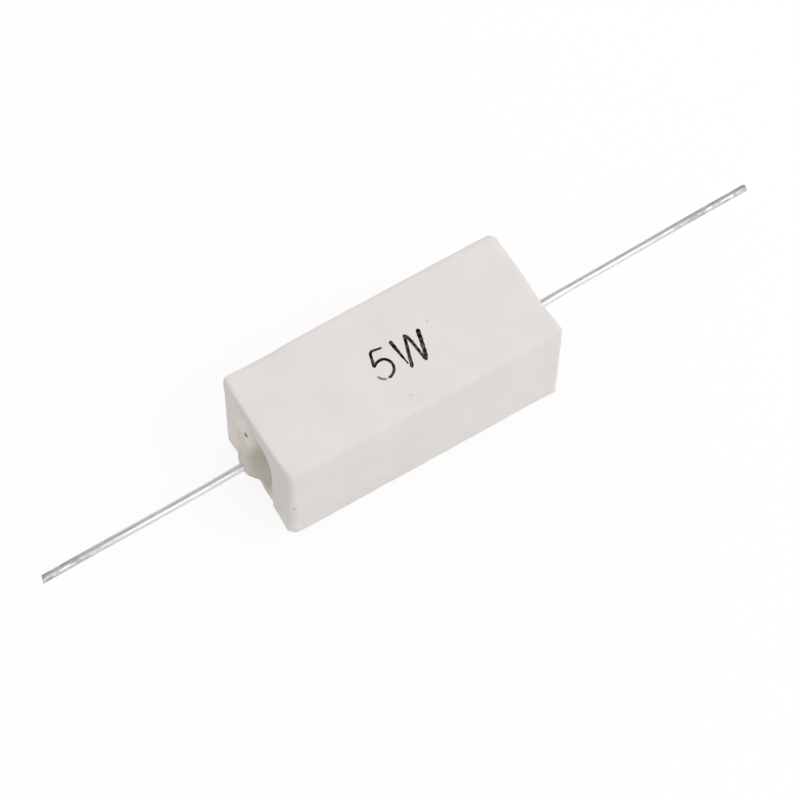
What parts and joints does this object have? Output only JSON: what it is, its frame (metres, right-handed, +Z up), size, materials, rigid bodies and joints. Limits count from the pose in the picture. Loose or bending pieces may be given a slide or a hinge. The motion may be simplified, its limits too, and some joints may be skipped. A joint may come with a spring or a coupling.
{
  "type": "cement power resistor",
  "caption": "Wirewound power resistor: an element potted with cement in a rounded rectangular ceramic case, with a straight axial wire lead out of each end.",
  "frame": {"origin": "middle of the case's open underside, on the plane of its rim", "axes": "+Z up towards the case's closed top, X along the leads with the shorter lead towards -X, -Y towards the front"},
  "size_m": [0.058, 0.0092, 0.0096],
  "materials": {
    "case_ceramic": "matte, unglazed, fine grain",
    "cement": "rough cast cement",
    "core_ceramic": "matte",
    "resistance_alloy": "drawn alloy wire",
    "cap_steel": "pressed and plated",
    "tinned_wire": "tinned, satin"
  },
  "bodies": {
    "root": {"ceramic_case": "case_ceramic", "cement_fill": "cement", "core_rod": "core_ceramic", "resistance_winding": "resistance_alloy", "end_cap_left": "cap_steel", "end_cap_right": "cap_steel", "lead_left": "tinned_wire", "lead_right": "tinned_wire"}
  },
  "joints": []
}
